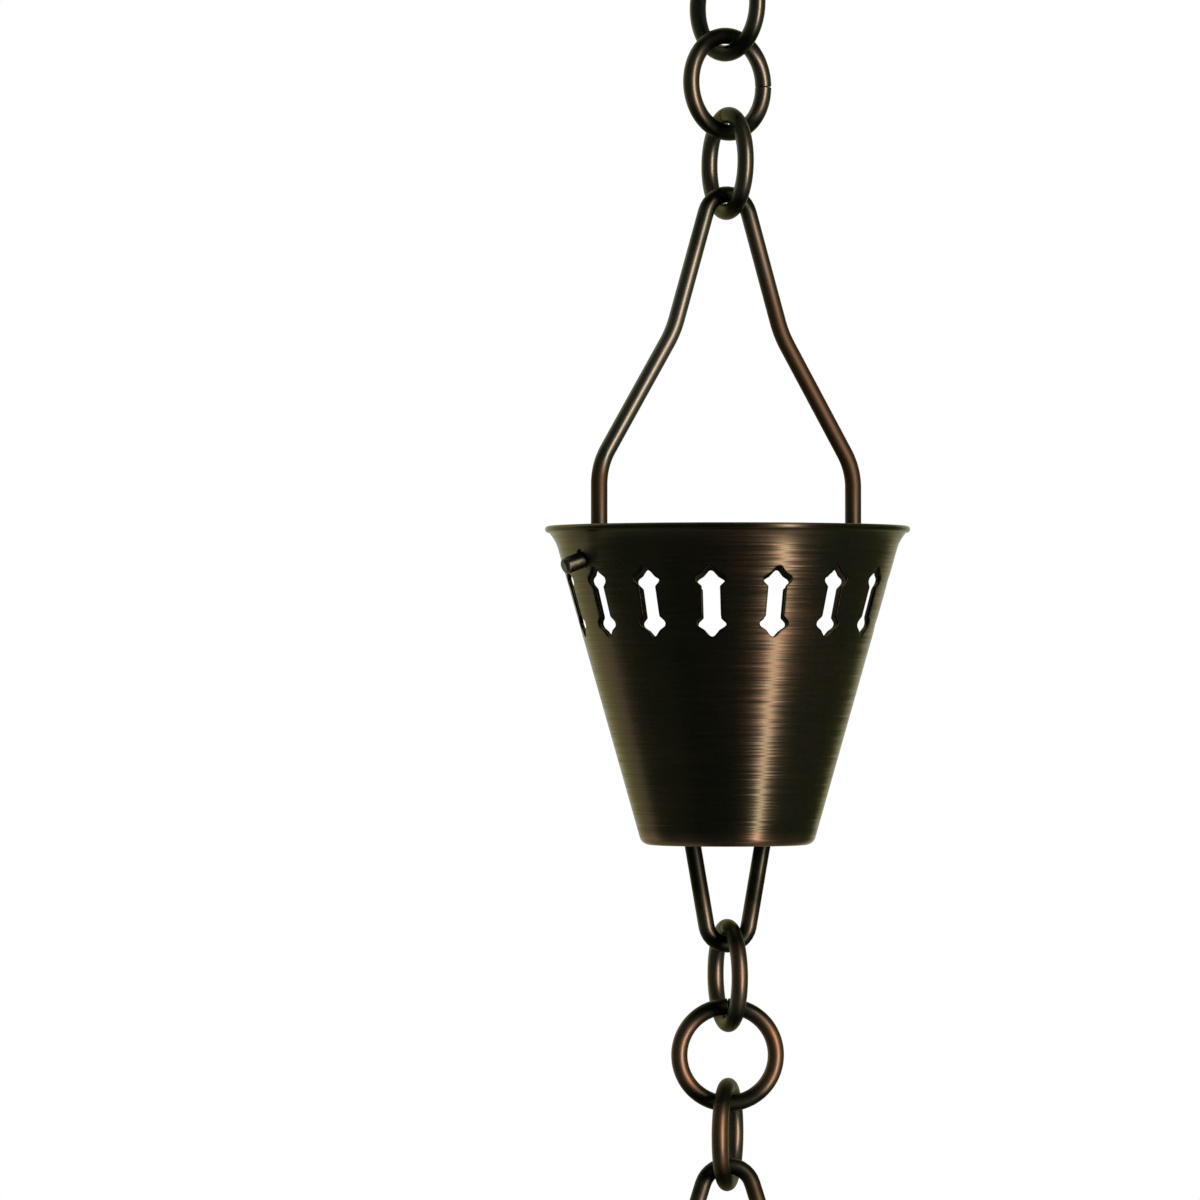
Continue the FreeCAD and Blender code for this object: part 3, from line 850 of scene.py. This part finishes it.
def new_material(name):
    """A material with its tree and its shader."""
    material = bpy.data.materials.new(name)
    material.use_nodes = True
    return material, material.node_tree, material.node_tree.nodes["Principled BSDF"]


def new_metal(name):
    """A metal with its tree, its shader and the place of each point on the piece."""
    material, tree, shader = new_material(name)
    shader.inputs["Metallic"].default_value = 1.0
    shader.inputs["Specular Tint"].default_value = (*GRAZING_TINT, 1.0)
    return material, tree, shader, add_node(tree, "ShaderNodeTexCoord").outputs["Object"]


def noted(tree, name):
    """The value that is noted at each point of the piece under a name."""
    return add_node(tree, "ShaderNodeAttribute", attribute_name=name).outputs["Fac"]


def noise(tree, place, scale, detail):
    """Noise with its own scale along X, Y and Z, from 0 to 1."""
    spread = add_node(tree, "ShaderNodeMapping", {"Vector": place, "Scale": scale})
    grain = add_node(tree, "ShaderNodeTexNoise", {
        "Vector": spread.outputs[0], "Scale": 1.0, "Detail": detail, "Roughness": GRAIN_ROUGHNESS,
    })
    return grain.outputs[0]


def ramp(tree, value, low, high, bottom=0.0, top=1.0):
    """A value taken from one range to another, and held at its ends."""
    mapped = add_node(tree, "ShaderNodeMapRange", {
        "Value": value, "From Min": low, "From Max": high, "To Min": bottom, "To Max": top,
    }, clamp=True)
    return mapped.outputs[0]


def blend_colour(tree, share, first, second):
    """A colour between two others."""
    mixed = add_node(tree, "ShaderNodeMix", {"Factor": share}, data_type="RGBA")
    for socket, colour in (("A_Color", first), ("B_Color", second)):
        entry = next(item for item in mixed.inputs if item.identifier == socket)
        if isinstance(colour, bpy.types.NodeSocket):
            tree.links.new(colour, entry)
        else:
            entry.default_value = (*colour, 1.0)
    return next(item for item in mixed.outputs if item.identifier == "Result_Color")


def cup_finish():
    """Dark bronze sheet, brushed round the cup, coppery where it is rubbed, and painted black as painted
    shade in its slots and under the rim's bead.
    """
    material, tree, shader, place = new_metal("brushed_bronze_sheet")
    brush = noise(tree, place, *BRUSH)
    stroke = noise(tree, place, *STROKE)
    cloud = noise(tree, place, *CLOUD)
    wear_and_shade = noted(tree, "wear_and_shade")

    clouded = ramp(tree, cloud, *CLOUD_TO_BROWN)
    browned = calculate(tree, "MULTIPLY", clouded, ramp(tree, brush, *BRUSH_TO_BROWN), held=True)
    rubbed = calculate(tree, "MULTIPLY", wear_and_shade, ramp(tree, cloud, *CLOUD_TO_COPPER), held=True)
    # Painted shade: black where the noted value is below 0, in the slots and under the rim's bead.
    painted_shade_on_sheet = ramp(tree, wear_and_shade, 0.0, -1.0)
    colour = blend_colour(tree, browned, SHEET_DARK, SHEET_BROWN)
    colour = blend_colour(tree, rubbed, colour, WORN_COPPER)
    colour = blend_colour(tree, painted_shade_on_sheet, colour, SHADE_AND_TARNISH)
    tree.links.new(colour, shader.inputs["Base Color"])
    roughness = ramp(tree, browned, *SHEET_BROWN_TO_ROUGHNESS)
    tree.links.new(roughness, shader.inputs["Roughness"])

    shader.inputs["Anisotropic"].default_value = BRUSH_ANISOTROPY
    shader.inputs["Anisotropic Rotation"].default_value = BRUSH_QUARTER_TURN
    around = add_node(tree, "ShaderNodeTangent", direction_type="RADIAL", axis="Z").outputs[0]
    tree.links.new(around, shader.inputs["Tangent"])
    lean = add_node(tree, "ShaderNodeVectorMath", {
        0: around, "Scale": ramp(tree, stroke, *STROKE_TO_LEAN),
    }, operation="SCALE")
    flat = add_node(tree, "ShaderNodeNewGeometry").outputs["Normal"]
    leaning = add_node(tree, "ShaderNodeVectorMath", {0: flat, 1: lean.outputs[0]}, operation="ADD")
    relief = add_node(tree, "ShaderNodeBump", {
        "Strength": SHEET_RELIEF, "Distance": RELIEF_DEPTH, "Height": brush,
        "Normal": leaning.outputs[0],
    })
    tree.links.new(relief.outputs[0], shader.inputs["Normal"])
    return material


def wire_finish():
    """Dark bronze wire with fine lines along its run and a brown, mottled patina, with painted shade
    where it touches other pieces and a painted highlight and painted shade along each bail.
    """
    material, tree, shader, place = new_metal("drawn_bronze_wire")
    angle = calculate(tree, "MULTIPLY", noted(tree, "wire_turn"), math.tau)
    on_wire = add_node(tree, "ShaderNodeCombineXYZ", {
        0: noted(tree, "wire_run"),
        1: calculate(tree, "COSINE", angle),
        2: calculate(tree, "SINE", angle),
    }).outputs[0]
    drawn = noise(tree, on_wire, *DRAWN)
    patch = noise(tree, place, *PATCH)

    patched = ramp(tree, patch, *PATCH_TO_BROWN)
    mottled = calculate(tree, "MULTIPLY", patched, ramp(tree, drawn, *DRAWN_TO_BROWN), held=True)
    browned = calculate(tree, "MULTIPLY", mottled, noted(tree, "copper"), held=True)
    # Painted highlight and painted shade along a bail, from its noted values.
    painted_light = noted(tree, "painted_light")
    painted_highlight_on_bail = ramp(tree, painted_light, 0.0, 1.0)
    painted_shade_on_bail = ramp(tree, painted_light, 0.0, -1.0)
    # Painted shade where the wire touches the pieces next to it, together with random patches of grime,
    # both turned to black.
    shade_and_grime = calculate(tree, "ADD", noted(tree, "contact_shade"), ramp(tree, patch, *PATCH_TO_GRIME), held=True)
    colour = blend_colour(tree, browned, WIRE_PATINA, WIRE_BROWN)
    colour = blend_colour(tree, painted_highlight_on_bail, colour, WIRE_PAINTED_HIGHLIGHT)
    colour = blend_colour(tree, painted_shade_on_bail, colour, WIRE_PAINTED_SHADE)
    colour = blend_colour(tree, ramp(tree, shade_and_grime, *SHADE_AND_GRIME_TO_BLACK), colour, SHADE_AND_TARNISH)
    tree.links.new(colour, shader.inputs["Base Color"])

    roughness = ramp(tree, browned, *WIRE_BROWN_TO_ROUGHNESS)
    for rougher in (ramp(tree, painted_highlight_on_bail, *HIGHLIGHT_ON_BAIL_TO_ROUGHNESS), ramp(tree, painted_shade_on_bail, *SHADE_ON_BAIL_TO_ROUGHNESS)):
        roughness = calculate(tree, "ADD", roughness, rougher, held=True)
    tree.links.new(roughness, shader.inputs["Roughness"])
    relief = add_node(tree, "ShaderNodeBump", {
        "Strength": WIRE_RELIEF, "Distance": RELIEF_DEPTH, "Height": drawn,
    })
    tree.links.new(relief.outputs[0], shader.inputs["Normal"])
    return material


# Studio.

def around_chain(azimuth, distance, height):
    """A place round the chain, where azimuth 0 is straight in front, on the side of -Y."""
    return Vector((distance * math.sin(azimuth), -distance * math.cos(azimuth), height))


def aim(thing, target):
    """Turn a camera or lamp towards a place."""
    thing.rotation_euler = (target - thing.location).to_track_quat("-Z", "Y").to_euler()


def make_camera():
    """The camera, with the chain right of the middle of its frame."""
    camera = bpy.data.cameras.new("camera")
    camera.sensor_width = SENSOR
    camera.lens = SENSOR * CAMERA_DISTANCE / FRAME_HEIGHT
    holder = add_object("camera", camera)
    holder.location = around_chain(CAMERA_AZIMUTH, CAMERA_DISTANCE, CAMERA_HEIGHT)
    right = Vector((math.cos(CAMERA_AZIMUTH), math.sin(CAMERA_AZIMUTH), 0))
    aim(holder, Vector((0, 0, AIM_HEIGHT)) - right * AIM_LEFT_OF_CHAIN)
    bpy.context.scene.camera = holder


def make_lamp():
    """A soft, narrow lamp that stands upright beside the chain, to the right of the camera."""
    lamp = bpy.data.lights.new("key_strip", "AREA")
    lamp.shape = "RECTANGLE"
    lamp.size = LAMP_WIDTH
    lamp.size_y = LAMP_LENGTH
    lamp.energy = LAMP_POWER
    lamp.color = LAMP_COLOUR
    holder = add_object("key_strip", lamp)
    holder.location = around_chain(CAMERA_AZIMUTH + LAMP_AZIMUTH, LAMP_DISTANCE, LAMP_HEIGHT)
    aim(holder, Vector((0, 0, LAMP_HEIGHT)))


def seen_directly(tree):
    """1 for rays from the camera, and for those that metal or glass shows, else 0."""
    path = add_node(tree, "ShaderNodeLightPath").outputs
    shown = calculate(tree, "ADD", path["Is Camera Ray"], path["Is Glossy Ray"], held=True)
    return calculate(tree, "ADD", shown, path["Is Transmission Ray"], held=True)


def make_world():
    """A white surround, which lights the chain softly."""
    world = bpy.data.worlds.new("surround")
    world.use_nodes = True
    tree = world.node_tree
    sky = tree.nodes["Background"]
    sky.inputs["Color"].default_value = (*WHITE, 1.0)
    strength = ramp(tree, seen_directly(tree), 0.0, 1.0, SURROUND_LIGHT, 1.0)
    tree.links.new(strength, sky.inputs["Strength"])
    bpy.context.scene.world = world


def make_floor():
    """A pale floor below the chain, which goes over into the white surround further out."""
    material, tree, matt = new_material("pale_floor")
    matt.inputs["Base Color"].default_value = (*STAGE_PALE, 1.0)
    matt.inputs["Roughness"].default_value = STAGE_ROUGHNESS
    matt.inputs["Specular IOR Level"].default_value = 0.0
    place = add_node(tree, "ShaderNodeTexCoord").outputs["Object"]
    distance = add_node(tree, "ShaderNodeVectorMath", {0: place}, operation="LENGTH").outputs["Value"]
    far = ramp(tree, distance, *STAGE_FADE)
    glow = add_node(tree, "ShaderNodeEmission", {"Color": (*WHITE, 1.0), "Strength": 1.0})
    mixed = add_node(tree, "ShaderNodeMixShader", {
        0: calculate(tree, "MULTIPLY", far, seen_directly(tree), held=True),
        1: matt.outputs[0],
        2: glow.outputs[0],
    })
    tree.links.new(mixed.outputs[0], tree.nodes["Material Output"].inputs["Surface"])
    mesh = bmesh.new()
    bmesh.ops.create_circle(mesh, cap_ends=True, segments=STAGE_SIDES, radius=STAGE_RADIUS)
    shape = bpy.data.meshes.new("floor")
    mesh.to_mesh(shape)
    mesh.free()
    shape.materials.append(material)
    floor = add_object("floor", shape)
    floor.location.z = STAGE_LEVEL


def make_dark_card(name, first, last, colour):
    """A dark screen round the chain, turned in over it and below it, that only the metal shows."""
    material, _, matt = new_material(name)
    matt.inputs["Base Color"].default_value = (*colour, 1.0)
    matt.inputs["Specular IOR Level"].default_value = 0.0
    profile = [
        (CARD_TURNED_IN_TO, CARD_BOTTOM),
        (CARD_RADIUS, CARD_BOTTOM),
        (CARD_RADIUS, CARD_TOP),
        (CARD_TURNED_IN_TO, CARD_TOP),
    ]
    wide = len(profile)
    verts = []
    for azimuth in np.linspace(math.radians(first), math.radians(last), CARD_STEPS + 1):
        verts += [around_chain(CAMERA_AZIMUTH + azimuth, *point) for point in profile]
    faces = []
    for i in range(CARD_STEPS):
        for j in range(i * wide, i * wide + wide - 1):
            faces.append((j, j + 1, j + 1 + wide, j + wide))
    shape = bpy.data.meshes.new(name)
    shape.from_pydata(verts, [], faces)
    shape.materials.append(material)
    card = add_object(name, shape)
    card.visible_camera = False
    card.visible_diffuse = False
    card.visible_shadow = False
    card.visible_transmission = False


def make_studio():
    """All that stands round the chain."""
    make_world()
    make_floor()
    for name, card in CARDS.items():
        make_dark_card(name, *card)
    make_lamp()


def hang(piece, node, body):
    """Let a piece stand for a solid of the frame and move with its body."""
    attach(piece, body)
    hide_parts(node)


def make_chain():
    """All pieces of the chain, each in the place of its solid."""
    sheet = cup_finish()
    wire = wire_finish()
    ring_tree = make_ring_tree()
    wire_tree = make_bent_wire_tree()
    cup_tree = make_cup_tree()
    sector = make_cup_sector()
    for node in TURNS:
        if node.startswith("ring"):
            hang(make_ring(node, ring_tree, wire), node, node)
    for number in (1, 2, 3):
        cup = f"cup_{number}"
        bail = f"bail_{number}"
        hang(make_bail(number, wire_tree, wire), bail, bail)
        hang(make_hook(number, wire_tree, wire), f"hook_{number}", cup)
        hang(make_cup(number, sector, cup_tree, sheet), cup, cup)


make_chain()
make_camera()
make_studio()
bpy.context.scene.view_settings.view_transform = "Standard"
